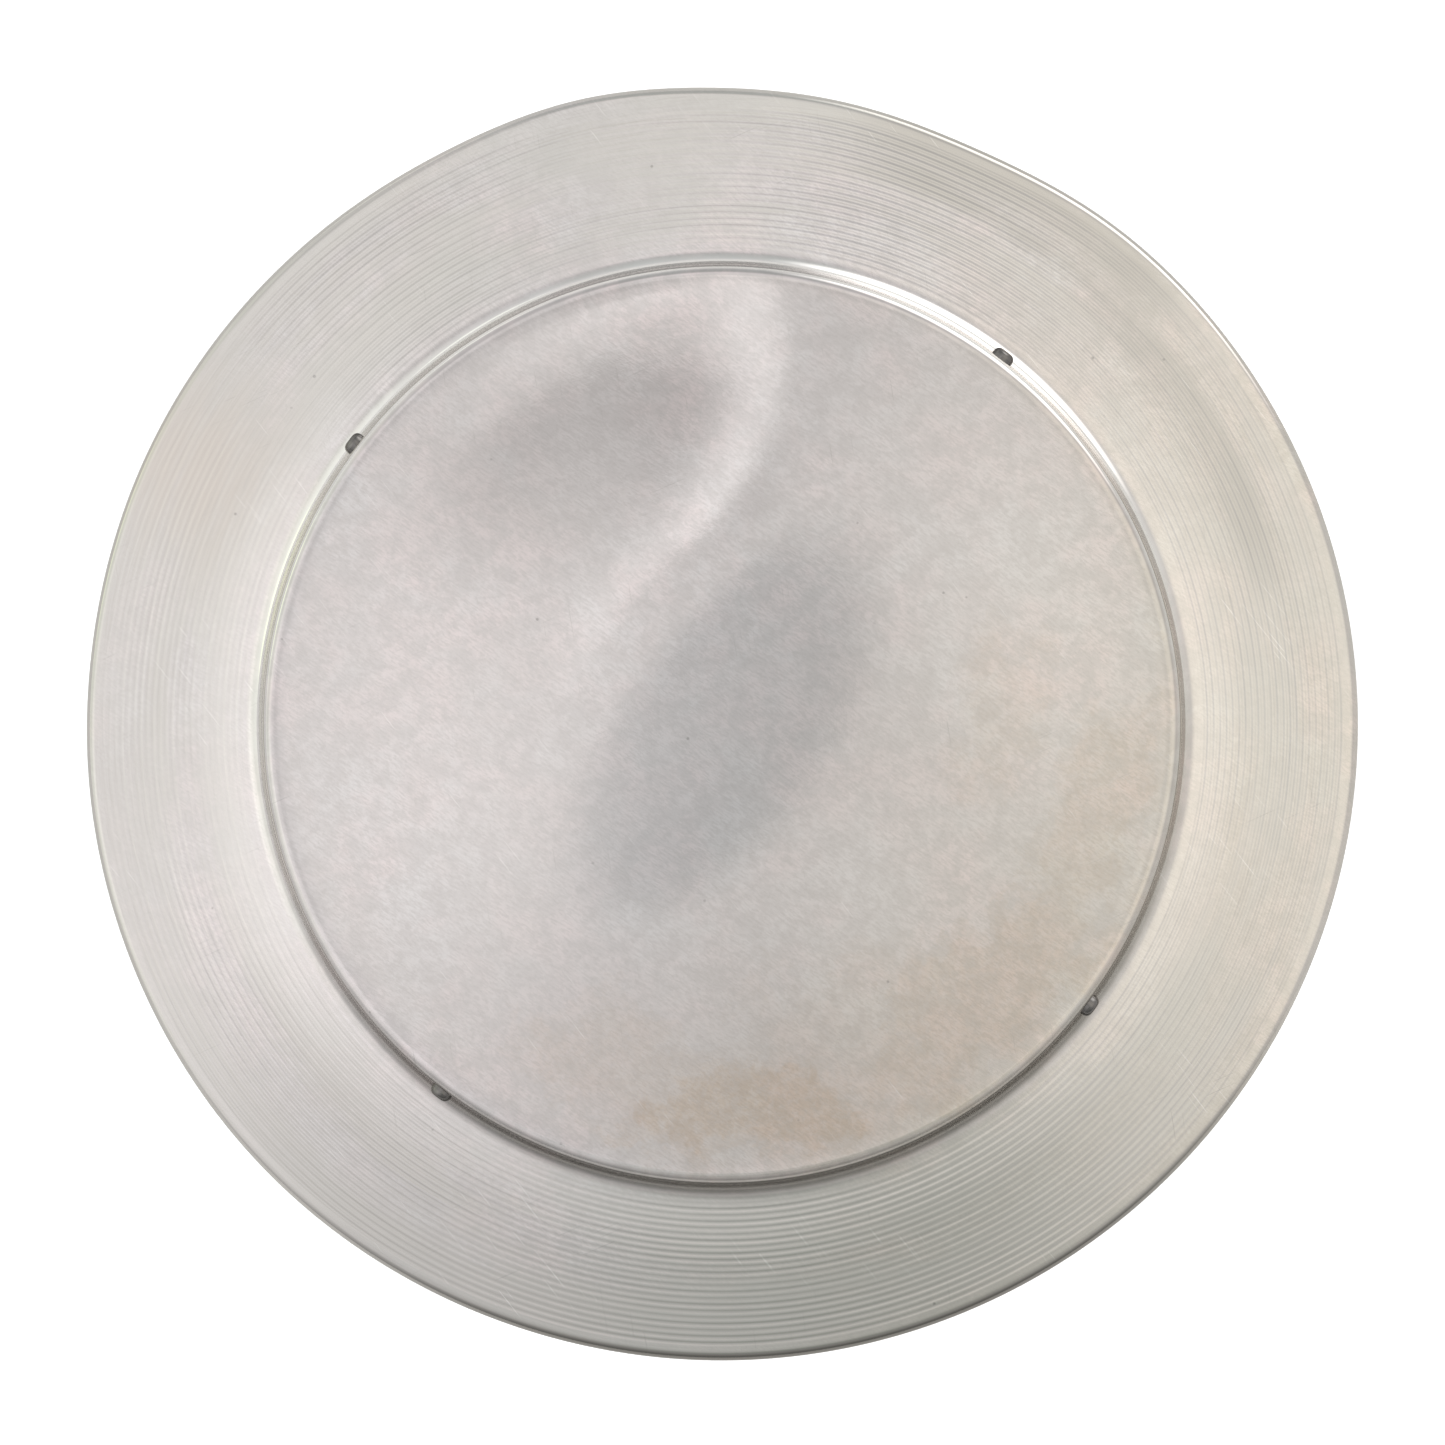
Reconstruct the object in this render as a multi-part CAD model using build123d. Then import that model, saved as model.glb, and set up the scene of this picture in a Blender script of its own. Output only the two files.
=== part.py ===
from build123d import *
import os
from math import cos, radians, sin, tan

# A banding wheel: a spun aluminium head on a cast spider, carried by a spindle that runs in two ball
# bearings in a cast-iron pedestal. Millimetres and degrees. The origin is on the axis, at the surface that
# the rubber feet stand on, and +Z is up along the axis.

# ---------------------------------------------------------------- driving dimensions
HEIGHT = 125.0                  # table top above the floor
HEAD_RADIUS = 150.0             # outside of the rolled rim
TABLE_RADIUS = 107.8            # outside of the wall round the table
SHEET = 1.5                     # thickness of the spun sheet
SCREW_ANGLE = 52.6              # first head screw, counter-clockwise from +X
SCREW_COUNT = 4

# head shell: the outer surface, from the table to the lip of the rim
TABLE_EDGE_RADIUS = 2.8
STEP_HEIGHT = 14.8              # table top down to where wall and skirt would meet
STEP_FILLET_RADIUS = 5.4
SKIRT_FALL = 12.0               # degrees below level
RIM_RADIUS = 2.5
LIP_LENGTH = 5.4
GROOVE_FIRST_RADIUS = 113.1
GROOVE_LAST_RADIUS = 147.6
GROOVE_COUNT = 23
GROOVE_DEPTH = 0.10

# spider
TABLE_GAP = 0.7                 # free height between the sheet and the spider
BOSS_RADIUS = 22.0
BOSS_LOW_Z = 92.0
SPIDER_RING_INNER = 91.0
SPIDER_RING_OUTER = 103.0
SPIDER_RING_DEPTH = 6.0
SPIDER_RING_DRAFT = 0.8         # each side of the ring, from top to bottom
BOSS_BEVEL = 1.0
ARM_WIDTH = 18.0
ARM_FLANGE = 4.0
ARM_WEB = 6.0
ARM_WEB_RISE = 6.0              # web's underside above the boss's underside, at the boss
PAD_WIDTH = 16.0
PAD_INSET = 3.0                 # pad starts this far outside the ring's inner edge
PAD_LOW_DROP = 3.4              # pad below the head screw's axis, beyond the screw head's radius
PAD_FIT = 0.05                  # between the pads and the inside of the wall

# screws: shank diameter, length, head diameter, head height, recess width, recess depth
HEAD_SCREW = (3.0, 8.0, 5.4, 2.3, 2.9, 1.4)
FOOT_SCREW = (4.0, 10.0, 8.0, 3.1, 4.4, 1.9)
THREAD_FIT = 0.02               # between each plain shank and its plain hole
CLEARANCE_FIT = 0.2             # between a shank and the sheet that it passes through
SET_SCREW_RADIUS = 3.0
SET_SCREW_LENGTH = 12.0
SET_SCREW_KEY = 3.0
SET_SCREW_SOCKET = 3.0          # depth
SET_SCREW_BEVEL = 0.4
SET_SCREW_Z = 101.0
SET_SCREW_ANGLES = (SCREW_ANGLE - 45.0, SCREW_ANGLE + 45.0)

# bearings: bore, outside, width, ball, ball count, inner shoulder, outer shoulder, shield seat (diameters)
UPPER_BEARING = (20.0, 42.0, 12.0, 6.35, 9, 27.2, 34.8, 36.6)
LOWER_BEARING = (17.0, 35.0, 10.0, 4.763, 10, 22.8, 29.2, 30.6)
UPPER_BEARING_Z = 73.0          # bottom face
LOWER_BEARING_Z = 22.0
BALL_CLEARANCE = 0.06
POCKET_CLEARANCE = 0.12
SHIELD_SHEET = 0.4
SHIELD_INSET = 0.3
SHIELD_CLEARANCE = 0.35
RACE_BEVEL = 0.6
CAGE_BAND = 0.44                # the cage's wall and height, as shares of a ball's diameter
CAGE_HEIGHT = 1.24

# spindle
SPINDLE_RADIUS = 10.0
SPINDLE_TOP_Z = 116.0
SPINDLE_LOW_Z = 18.0
COLLAR_RADIUS = 13.5
COLLAR_HEIGHT = 5.0
FLAT_DEPTH = 0.5                # of the milled flats under the set screws
FLAT_SIZE = 12.0
SHAFT_BEVEL = 0.8
CENTRE_HOLE = (2.5, 4.0)        # radius and depth, in the spindle's lower end

# pedestal
FOOT_RADIUS = 100.0
FOOT_RIM_Z = 3.0
FOOT_RIM_WALL = 5.0
FOOT_EDGE_Z = 15.0
FOOT_EDGE_RADIUS = 4.0
DECK = 6.0                      # thickness of the foot's top wall
DECK_CORNER_RADIUS = 3.0
COLUMN_FOOT_RADIUS = 31.0
COLUMN_TOP_RADIUS = 30.0
COLUMN_FOOT_Z = 24.5            # where deck and column would meet
COLUMN_BLEND = 24.0
HOUSING_TOP_Z = 88.0
HOUSING_EDGE_RADIUS = 1.5
UPPER_LEDGE = (2.5, 2.0)        # width of the ledge under the upper outer race, depth of the relief in it
LOWER_SEAT_SPARE = 0.5          # height of the lower seat above its race
CORE_RADIUS = 15.2              # clear bore between the bearings
CENTRE_BOSS_RADIUS = 27.0
CENTRE_BOSS_Z = 12.0
RIB_THICKNESS = 6.0
RIB_LOW_Z = 8.0
FOOT_CIRCLE_RADIUS = 80.0
FOOT_ANGLE = 45.0
FOOT_COUNT = 4
LUG_RADIUS = 13.0
FOOT_SCREW_DEPTH = 7.2          # tapped hole above the rubber foot

# rubber feet
RUBBER_RADIUS = 12.0
RUBBER_HEIGHT = 8.0
RUBBER_DRAFT = 1.0              # from top to bottom of each foot
RUBBER_BEVEL = 0.8
RUBBER_SINK_RADIUS = 5.2
RUBBER_SINK_DEPTH = 4.6
RUBBER_HOLE_FIT = 0.1

# retaining rings, wave washer, cap, slinger
SPINDLE_RING_GROOVE = 0.4       # depth
HOUSING_RING_GROOVE = 1.2
SPINDLE_CIRCLIP_BAND = 2.2
SPINDLE_CIRCLIP_THICKNESS = 1.0
HOUSING_CIRCLIP_BAND = 3.6
HOUSING_CIRCLIP_THICKNESS = 1.5
HOUSING_CIRCLIP_TOP_Z = 20.0
WAVE_COUNT = 3
WAVE_SHEET = 0.5
WAVE_STEPS = 12                 # sections lofted along each wave
WAVE_INNER_FIT = 0.2            # inside edge outside the outer race's shoulder
WAVE_OUTER_FIT = 0.3            # outside edge inside the seat
CAP_SHEET = 1.2
CAP_DEPTH = 3.6
CAP_CORNER = 0.8
SLINGER_RADIUS = 33.0
SLINGER_WALL = 1.8
SLINGER_PLATE = 2.0
SLINGER_LIP_Z = 82.5
SLINGER_BEVEL = 1.0


# ---------------------------------------------------------------- helpers
def turned(*points):
    """A solid of revolution about Z whose half section has these (radius, height) corners."""
    corners = [(radius, 0, height) for radius, height in points]
    return revolve(make_face(Polyline(*corners, close=True)), Axis.Z)


def ring(inner, outer, low, high, bevel=0.0):
    """A flat ring whose outer edges are bevelled."""
    if bevel == 0.0:
        return turned((inner, low), (outer, low), (outer, high), (inner, high))
    return turned(
        (inner, low), (outer - bevel, low), (outer, low + bevel),
        (outer, high - bevel), (outer - bevel, high), (inner, high),
    )


def around(shape, count, first_angle):
    """Copies of a shape, evenly spaced about Z."""
    return [Rot(0, 0, first_angle + 360.0 * index / count) * shape for index in range(count)]


def pointing_out(shape, radius, height, angle):
    """Lay a shape that was made along +Z on its side, so that it points away from the axis."""
    return Rot(0, 0, angle) * Pos(radius, 0, height) * Rot(0, 90, 0) * shape


def pan_head_screw(sizes):
    """A cross-recessed pan-head screw along Z, with the underside of its head at the origin."""
    diameter, length, head_diameter, head_height, recess_width, recess_depth = sizes
    radius = head_diameter / 2
    side_height = 0.35 * head_height
    crown_radius = 0.48 * radius
    shoulder = (0.85 * radius, 0, 0.80 * head_height)
    point_bevel = 0.15 * diameter
    slot_width = 0.26 * recess_width
    recess_floor_radius = 0.12 * recess_width
    underside = Edge.make_line((0, 0, 0), (radius, 0, 0))
    side = Edge.make_line((radius, 0, 0), (radius, 0, side_height))
    dome = Edge.make_three_point_arc((radius, 0, side_height), shoulder, (crown_radius, 0, head_height))
    top = Edge.make_line((crown_radius, 0, head_height), (0, 0, head_height))
    axis_line = Edge.make_line((0, 0, head_height), (0, 0, 0))
    head = revolve(make_face([underside, side, dome, top, axis_line]), Axis.Z)
    shank = Pos(0, 0, -length / 2) * Cylinder(diameter / 2, length)
    shank = chamfer(shank.edges().sort_by(Axis.Z)[0], point_bevel)
    slot = Box(recess_width, slot_width, 2 * recess_depth)
    cone = Cone(recess_floor_radius, recess_width / 2, recess_depth)
    cross = (slot + Rot(0, 0, 90) * slot) & cone
    return head + shank - Pos(0, 0, head_height - recess_depth / 2) * cross


def set_screw():
    """A socket grub screw along Z, with its flat point at the origin."""
    body = Cylinder(SET_SCREW_RADIUS, SET_SCREW_LENGTH, align=(Align.CENTER, Align.CENTER, Align.MIN))
    body = chamfer(body.edges().filter_by(GeomType.CIRCLE), SET_SCREW_BEVEL)
    socket = extrude(RegularPolygon(SET_SCREW_KEY / 2, 6, major_radius=False), 2 * SET_SCREW_SOCKET)
    return body - Pos(0, 0, SET_SCREW_LENGTH - SET_SCREW_SOCKET) * socket


def circlip(seat_radius, band, thickness, outward):
    """A retaining ring that sits at seat_radius, with two eyed ears at its gap, which is on +X."""
    middle = seat_radius + band / 2 if outward else seat_radius - band / 2
    half_gap = 18.0 if outward else 14.0
    ear_radius = 0.8 * band
    eye_radius = 0.4 * ear_radius
    ear_place = seat_radius + 0.75 * band if outward else seat_radius - 1.15 * band
    clip = extrude(Circle(middle + band / 2) - Circle(middle - band / 2), thickness)
    reach = 2 * seat_radius
    wedge = make_face(Polyline(
        (0, 0),
        (reach, -reach * tan(radians(half_gap))),
        (reach, reach * tan(radians(half_gap))),
        close=True,
    ))
    clip -= extrude(wedge, thickness)
    for side in (-1, 1):
        ear = Rot(0, 0, side * half_gap) * Pos(ear_place, 0, 0)
        clip += ear * extrude(Circle(ear_radius), thickness)
        clip -= ear * extrude(Circle(eye_radius), thickness)
    if outward:
        return clip - Cylinder(seat_radius, 4 * thickness)
    return clip & Cylinder(seat_radius, 4 * thickness)


# ---------------------------------------------------------------- head
def head_shell():
    """One piece of sheet: table, rounded edge, wall, fillet, grooved skirt and rolled rim."""
    step_z = HEIGHT - STEP_HEIGHT
    fall = tan(radians(SKIRT_FALL))
    rim_z = step_z - (HEAD_RADIUS - TABLE_RADIUS) * fall
    outer_surface = FilletPolyline(
        (0, 0, HEIGHT),
        (TABLE_RADIUS, 0, HEIGHT),
        (TABLE_RADIUS, 0, step_z),
        (HEAD_RADIUS, 0, rim_z),
        (HEAD_RADIUS, 0, rim_z - LIP_LENGTH),
        radius=(TABLE_EDGE_RADIUS, STEP_FILLET_RADIUS, RIM_RADIUS),
    )
    inner_surface = FilletPolyline(
        (0, 0, HEIGHT - SHEET),
        (TABLE_RADIUS - SHEET, 0, HEIGHT - SHEET),
        (TABLE_RADIUS - SHEET, 0, step_z - SHEET * (1 / cos(radians(SKIRT_FALL)) - fall)),
        (HEAD_RADIUS - SHEET, 0, rim_z - SHEET * (1 / cos(radians(SKIRT_FALL)) - fall)),
        (HEAD_RADIUS - SHEET, 0, rim_z - LIP_LENGTH),
        radius=(TABLE_EDGE_RADIUS - SHEET, STEP_FILLET_RADIUS + SHEET, RIM_RADIUS - SHEET),
    )
    on_axis = Line(outer_surface @ 0, inner_surface @ 0)
    lip_end = Line(outer_surface @ 1, inner_surface @ 1)
    section = make_face([outer_surface, inner_surface, on_axis, lip_end])
    section -= grooves(step_z, fall)
    shell = revolve(section, Axis.Z)
    hole = Cylinder(HEAD_SCREW[0] / 2 + CLEARANCE_FIT, 6 * SHEET)
    for angle in screw_angles():
        shell -= pointing_out(hole, TABLE_RADIUS, head_screw_z(), angle)
    return shell


def grooves(step_z, fall):
    """Half sections of the turning grooves: circles that sink into the skirt and meet in ridges."""
    pitch = (GROOVE_LAST_RADIUS - GROOVE_FIRST_RADIUS) / GROOVE_COUNT
    half_chord = pitch / 2 / cos(radians(SKIRT_FALL))
    tool = (half_chord ** 2 + GROOVE_DEPTH ** 2) / (2 * GROOVE_DEPTH)
    lift = tool - GROOVE_DEPTH
    cuts = Sketch()
    for index in range(GROOVE_COUNT):
        radius = GROOVE_FIRST_RADIUS + (index + 0.5) * pitch
        height = step_z - (radius - TABLE_RADIUS) * fall
        centre_radius = radius + lift * sin(radians(SKIRT_FALL))
        centre_z = height + lift * cos(radians(SKIRT_FALL))
        cuts += Plane(origin=(centre_radius, 0, centre_z), x_dir=(1, 0, 0), z_dir=(0, -1, 0)) * Circle(tool)
    return cuts


def screw_angles():
    return [SCREW_ANGLE + 360.0 * index / SCREW_COUNT for index in range(SCREW_COUNT)]


def head_screw_z():
    """Half way down the straight part of the wall."""
    turn = 90.0 - SKIRT_FALL
    wall_low = HEIGHT - STEP_HEIGHT + STEP_FILLET_RADIUS * tan(radians(turn / 2))
    wall_high = HEIGHT - TABLE_EDGE_RADIUS
    return (wall_low + wall_high) / 2


def head_screws():
    screw = pan_head_screw(HEAD_SCREW)
    height = head_screw_z()
    return Compound([pointing_out(screw, TABLE_RADIUS, height, angle) for angle in screw_angles()])


def head_spider():
    """Boss, four arms of T section, an outer ring, and a pad behind each head screw."""
    top = HEIGHT - SHEET - TABLE_GAP
    ring_low = top - SPIDER_RING_DEPTH
    web_low = BOSS_LOW_Z + ARM_WEB_RISE
    spider = ring(0, BOSS_RADIUS, BOSS_LOW_Z, top, BOSS_BEVEL)
    spider += turned(
        (SPIDER_RING_INNER, top), (SPIDER_RING_OUTER, top),
        (SPIDER_RING_OUTER + SPIDER_RING_DRAFT, ring_low),
        (SPIDER_RING_INNER - SPIDER_RING_DRAFT, ring_low),
    )
    arm_end = (SPIDER_RING_INNER + SPIDER_RING_OUTER) / 2
    flange = Pos(arm_end / 2, 0, top - ARM_FLANGE / 2) * Box(arm_end, ARM_WIDTH, ARM_FLANGE)
    web_side = make_face(Polyline(
        (0, 0, top), (arm_end, 0, top), (arm_end, 0, ring_low),
        (SPIDER_RING_INNER, 0, ring_low), (BOSS_RADIUS, 0, web_low), (0, 0, web_low),
        close=True,
    ))
    web = extrude(web_side, ARM_WEB / 2, both=True)
    screw_z = head_screw_z()
    pad_low = screw_z - HEAD_SCREW[2] / 2 - PAD_LOW_DROP
    pad_high = screw_z + HEAD_SCREW[2] / 2
    pad_inner = SPIDER_RING_INNER + PAD_INSET
    pad_reach = TABLE_RADIUS - SHEET - PAD_FIT
    pad = Pos(pad_inner, 0, pad_low) * Box(
        pad_reach - pad_inner, PAD_WIDTH, pad_high - pad_low, align=(Align.MIN, Align.CENTER, Align.MIN)
    )
    pad &= Cylinder(pad_reach, 4 * HEIGHT)
    for part in around(flange + web + pad, SCREW_COUNT, SCREW_ANGLE):
        spider += part
    spider -= ring(0, SPINDLE_RADIUS, BOSS_LOW_Z, SPINDLE_TOP_Z)
    tapped_length = TABLE_RADIUS - pad_inner
    tapped = Cylinder(HEAD_SCREW[0] / 2 + THREAD_FIT, tapped_length)
    for angle in screw_angles():
        spider -= pointing_out(tapped, pad_inner + tapped_length / 2, screw_z, angle)
    set_screw_hole = Cylinder(SET_SCREW_RADIUS + THREAD_FIT, 2 * BOSS_RADIUS)
    for angle in SET_SCREW_ANGLES:
        spider -= pointing_out(set_screw_hole, BOSS_RADIUS, SET_SCREW_Z, angle)
    return spider


def hub_set_screws():
    start = SPINDLE_RADIUS - FLAT_DEPTH
    return Compound([pointing_out(set_screw(), start, SET_SCREW_Z, angle) for angle in SET_SCREW_ANGLES])


# ---------------------------------------------------------------- spindle and what rides on it
def spindle():
    """Stepped shaft: head seat, collar, upper bearing seat, shoulder, lower bearing seat, ring groove."""
    collar_low = UPPER_BEARING_Z + UPPER_BEARING[2]
    collar_high = collar_low + COLLAR_HEIGHT
    seat_radius = UPPER_BEARING[0] / 2
    low_radius = LOWER_BEARING[0] / 2
    step_z = LOWER_BEARING_Z + LOWER_BEARING[2]
    groove_high = LOWER_BEARING_Z
    groove_low = LOWER_BEARING_Z - SPINDLE_CIRCLIP_THICKNESS
    groove_radius = low_radius - SPINDLE_RING_GROOVE
    bevel = SHAFT_BEVEL
    shaft = turned(
        (0, SPINDLE_LOW_Z), (low_radius - bevel, SPINDLE_LOW_Z), (low_radius, SPINDLE_LOW_Z + bevel),
        (low_radius, groove_low), (groove_radius, groove_low), (groove_radius, groove_high),
        (low_radius, groove_high), (low_radius, step_z), (seat_radius, step_z), (seat_radius, collar_low),
        (COLLAR_RADIUS, collar_low), (COLLAR_RADIUS, collar_high - bevel),
        (COLLAR_RADIUS - bevel, collar_high),
        (SPINDLE_RADIUS, collar_high), (SPINDLE_RADIUS, SPINDLE_TOP_Z - bevel),
        (SPINDLE_RADIUS - bevel, SPINDLE_TOP_Z), (0, SPINDLE_TOP_Z),
    )
    hole_radius, hole_depth = CENTRE_HOLE
    shaft -= turned((0, SPINDLE_LOW_Z), (hole_radius, SPINDLE_LOW_Z), (0, SPINDLE_LOW_Z + hole_depth))
    milled = Box(FLAT_SIZE, FLAT_SIZE, FLAT_SIZE, align=(Align.CENTER, Align.CENTER, Align.MIN))
    for angle in SET_SCREW_ANGLES:
        shaft -= pointing_out(milled, SPINDLE_RADIUS - FLAT_DEPTH, SET_SCREW_Z, angle)
    return shaft


def dust_slinger():
    """A turned cup, clamped between the collar and the boss, that reaches down round the housing's top."""
    plate_low = UPPER_BEARING_Z + UPPER_BEARING[2] + COLLAR_HEIGHT
    plate_high = plate_low + SLINGER_PLATE
    inner = SLINGER_RADIUS - SLINGER_WALL
    return turned(
        (SPINDLE_RADIUS, plate_low), (inner, plate_low), (inner, SLINGER_LIP_Z),
        (SLINGER_RADIUS, SLINGER_LIP_Z), (SLINGER_RADIUS, plate_high - SLINGER_BEVEL),
        (SLINGER_RADIUS - SLINGER_BEVEL, plate_high), (SPINDLE_RADIUS, plate_high),
    )


def spindle_circlip():
    low = LOWER_BEARING_Z - SPINDLE_CIRCLIP_THICKNESS
    seat = LOWER_BEARING[0] / 2 - SPINDLE_RING_GROOVE
    return Pos(0, 0, low) * circlip(seat, SPINDLE_CIRCLIP_BAND, SPINDLE_CIRCLIP_THICKNESS, True)


# ---------------------------------------------------------------- ball bearings
def bearing_parts(sizes, low):
    """Inner race, outer race, cage, balls and shields of a deep-groove ball bearing."""
    bore, outside, width, ball, count, inner_shoulder, outer_shoulder, shield_seat = sizes
    high = low + width
    middle = (low + high) / 2
    pitch_radius = (bore + outside) / 4
    bevel = RACE_BEVEL
    track = Pos(0, 0, middle) * Torus(pitch_radius, ball / 2 + BALL_CLEARANCE)
    seat_depth = SHIELD_INSET + SHIELD_SHEET

    inner = ring(bore / 2, inner_shoulder / 2, low, high) - track
    outer = turned(
        (shield_seat / 2, low), (outside / 2 - bevel, low), (outside / 2, low + bevel),
        (outside / 2, high - bevel), (outside / 2 - bevel, high), (shield_seat / 2, high),
        (shield_seat / 2, high - seat_depth), (outer_shoulder / 2, high - seat_depth),
        (outer_shoulder / 2, low + seat_depth), (shield_seat / 2, low + seat_depth),
    ) - track

    half_band = CAGE_BAND * ball / 2
    half_height = CAGE_HEIGHT * ball / 2
    cage = ring(
        pitch_radius - half_band, pitch_radius + half_band, middle - half_height, middle + half_height
    )
    ball_place = Pos(pitch_radius, 0, middle)
    pocket = ball_place * Rot(0, 90, 0) * Cylinder(ball / 2 + POCKET_CLEARANCE, 4 * half_band)
    for opening in around(pocket, count, 0):
        cage -= opening
    balls = Compound(around(ball_place * Sphere(ball / 2), count, 0))

    shield_inner = inner_shoulder / 2 + SHIELD_CLEARANCE
    shields = Compound([
        ring(shield_inner, shield_seat / 2, low + SHIELD_INSET, low + seat_depth),
        ring(shield_inner, shield_seat / 2, high - seat_depth, high - SHIELD_INSET),
    ])
    return {"inner_race": inner, "outer_race": outer, "cage": cage, "balls": balls, "shields": shields}


# ---------------------------------------------------------------- pedestal and what is fixed to it
def pedestal():
    """One casting: a dished round foot, a column that blends out of it, and the bearing seats."""
    body = revolve(pedestal_section(), Axis.Z)
    inside = revolve(underside_section(), Axis.Z)
    keep = ring(0, CENTRE_BOSS_RADIUS, CENTRE_BOSS_Z, COLUMN_FOOT_Z)
    rib = Box(FOOT_RADIUS, RIB_THICKNESS, COLUMN_FOOT_Z, align=(Align.MIN, Align.CENTER, Align.MIN))
    lug = Pos(FOOT_CIRCLE_RADIUS, 0, 0) * Cylinder(
        LUG_RADIUS, COLUMN_FOOT_Z, align=(Align.CENTER, Align.CENTER, Align.MIN)
    )
    for part in around(Pos(0, 0, RIB_LOW_Z) * (rib + lug), FOOT_COUNT, FOOT_ANGLE):
        keep += part
    body -= inside - keep
    body -= bearing_seats()
    screw_hole = Pos(FOOT_CIRCLE_RADIUS, 0, RUBBER_HEIGHT) * Cylinder(
        FOOT_SCREW[0] / 2 + THREAD_FIT, FOOT_SCREW_DEPTH, align=(Align.CENTER, Align.CENTER, Align.MIN)
    )
    for hole in around(screw_hole, FOOT_COUNT, FOOT_ANGLE):
        body -= hole
    return body


def pedestal_section():
    outline = FilletPolyline(
        (FOOT_RADIUS, 0, FOOT_RIM_Z),
        (FOOT_RADIUS, 0, FOOT_EDGE_Z),
        (COLUMN_FOOT_RADIUS, 0, COLUMN_FOOT_Z),
        (COLUMN_TOP_RADIUS, 0, HOUSING_TOP_Z),
        (0, 0, HOUSING_TOP_Z),
        radius=(FOOT_EDGE_RADIUS, COLUMN_BLEND, HOUSING_EDGE_RADIUS),
    )
    base = Polyline((0, 0, HOUSING_TOP_Z), (0, 0, FOOT_RIM_Z), (FOOT_RADIUS, 0, FOOT_RIM_Z))
    return make_face([outline, base])


def underside_section():
    """The hollow under the foot, as deep as the deck leaves it."""
    inner = FOOT_RADIUS - FOOT_RIM_WALL
    slope = (COLUMN_FOOT_Z - FOOT_EDGE_Z) / (FOOT_RADIUS - COLUMN_FOOT_RADIUS)
    rim_ceiling = FOOT_EDGE_Z - DECK
    ceiling = FilletPolyline(
        (inner, 0, FOOT_RIM_Z),
        (inner, 0, rim_ceiling),
        (0, 0, rim_ceiling + slope * inner),
        radius=DECK_CORNER_RADIUS,
    )
    base = Polyline(ceiling @ 1, (0, 0, FOOT_RIM_Z), (inner, 0, FOOT_RIM_Z))
    return make_face([ceiling, base])


def bearing_seats():
    """What is bored out of the column, from top to bottom."""
    upper_radius = UPPER_BEARING[1] / 2
    lower_radius = LOWER_BEARING[1] / 2
    lower_top = LOWER_BEARING_Z + LOWER_BEARING[2] + LOWER_SEAT_SPARE
    clip_low = HOUSING_CIRCLIP_TOP_Z - HOUSING_CIRCLIP_THICKNESS
    ledge_width, relief_depth = UPPER_LEDGE
    seats = ring(0, upper_radius, UPPER_BEARING_Z, HOUSING_TOP_Z)
    seats += ring(0, upper_radius - ledge_width, UPPER_BEARING_Z - relief_depth, UPPER_BEARING_Z)
    seats += ring(0, CORE_RADIUS, FOOT_RIM_Z, UPPER_BEARING_Z)
    seats += ring(0, lower_radius, FOOT_RIM_Z, lower_top)
    seats += ring(0, lower_radius + HOUSING_RING_GROOVE, clip_low, HOUSING_CIRCLIP_TOP_Z)
    return seats


def wave_washer():
    """A flat ring bent into three waves, between the housing circlip and the lower outer race."""
    inner = LOWER_BEARING[6] / 2 + WAVE_INNER_FIT
    outer = LOWER_BEARING[1] / 2 - WAVE_OUTER_FIT
    middle_radius = (inner + outer) / 2
    middle_z = (HOUSING_CIRCLIP_TOP_Z + LOWER_BEARING_Z) / 2
    swing = (LOWER_BEARING_Z - HOUSING_CIRCLIP_TOP_Z - WAVE_SHEET) / 2
    span = 360.0 / WAVE_COUNT

    def section(index):
        angle = radians(span * index / WAVE_STEPS)
        height = middle_z + swing * cos(WAVE_COUNT * angle)
        plane = Plane(
            origin=(middle_radius * cos(angle), middle_radius * sin(angle), height),
            x_dir=(cos(angle), sin(angle), 0),
            z_dir=(-sin(angle), cos(angle), 0),
        )
        return plane * Rectangle(outer - inner, WAVE_SHEET)

    wave = loft([section(index) for index in range(WAVE_STEPS + 1)])
    washer = Part()
    for part in around(wave, WAVE_COUNT, 0):
        washer += part
    return washer


def housing_circlip():
    low = HOUSING_CIRCLIP_TOP_Z - HOUSING_CIRCLIP_THICKNESS
    seat = LOWER_BEARING[1] / 2 + HOUSING_RING_GROOVE
    return Pos(0, 0, low) * circlip(seat, HOUSING_CIRCLIP_BAND, HOUSING_CIRCLIP_THICKNESS, False)


def bearing_cap():
    """A pressed cup, pushed up into the lower bore with its open side down."""
    radius = LOWER_BEARING[1] / 2
    low = CENTRE_BOSS_Z
    high = low + CAP_DEPTH
    return turned(
        (0, high), (radius - CAP_CORNER, high), (radius, high - CAP_CORNER), (radius, low),
        (radius - CAP_SHEET, low), (radius - CAP_SHEET, high - CAP_SHEET), (0, high - CAP_SHEET),
    )


def rubber_feet():
    hole_radius = FOOT_SCREW[0] / 2 + RUBBER_HOLE_FIT
    low_radius = RUBBER_RADIUS - RUBBER_DRAFT
    foot = turned(
        (hole_radius, RUBBER_SINK_DEPTH), (RUBBER_SINK_RADIUS, RUBBER_SINK_DEPTH), (RUBBER_SINK_RADIUS, 0),
        (low_radius - RUBBER_BEVEL, 0), (low_radius, RUBBER_BEVEL), (RUBBER_RADIUS, RUBBER_HEIGHT),
        (hole_radius, RUBBER_HEIGHT),
    )
    return Compound(around(Pos(FOOT_CIRCLE_RADIUS, 0, 0) * foot, FOOT_COUNT, FOOT_ANGLE))


def foot_screws():
    screw = Pos(FOOT_CIRCLE_RADIUS, 0, RUBBER_SINK_DEPTH) * Rot(180, 0, 0) * pan_head_screw(FOOT_SCREW)
    return Compound(around(screw, FOOT_COUNT, FOOT_ANGLE))


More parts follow.
